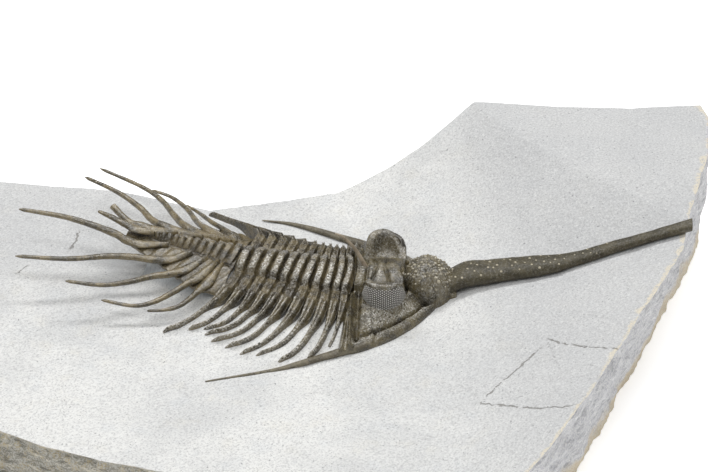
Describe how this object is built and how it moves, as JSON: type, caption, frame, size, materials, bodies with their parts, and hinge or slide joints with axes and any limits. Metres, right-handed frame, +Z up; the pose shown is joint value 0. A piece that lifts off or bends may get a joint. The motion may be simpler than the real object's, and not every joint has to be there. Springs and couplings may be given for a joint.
{
  "type": "trilobite fossil",
  "caption": "Long-spined trilobite fossil lying on its limestone slab, with a sword-like snout spine, raised lens banks, ringed thorax and a fan of tail spines.",
  "frame": {"origin": "middle of the slab's box, on its flat underside", "axes": "+X along the animal, from tail to snout spine; +Y towards the slab's far edge, on the animal's left; +Z up"},
  "size_m": [0.168, 0.1248, 0.0285],
  "materials": {
    "limestone": "rough, prepared with fine tools",
    "shell": "glossy dark olive brown calcite",
    "lens_bank": "satin grey"
  },
  "bodies": {
    "root": {"matrix_slab": "limestone", "cephalon": "shell", "left_eye": "lens_bank", "right_eye": "lens_bank", "thorax_segment_01": "shell", "thorax_segment_02": "shell", "thorax_segment_03": "shell", "thorax_segment_04": "shell", "thorax_segment_05": "shell", "thorax_segment_06": "shell", "thorax_segment_07": "shell", "thorax_segment_08": "shell", "thorax_segment_09": "shell", "thorax_segment_10": "shell", "thorax_segment_11": "shell", "pygidium": "shell"}
  },
  "joints": []
}
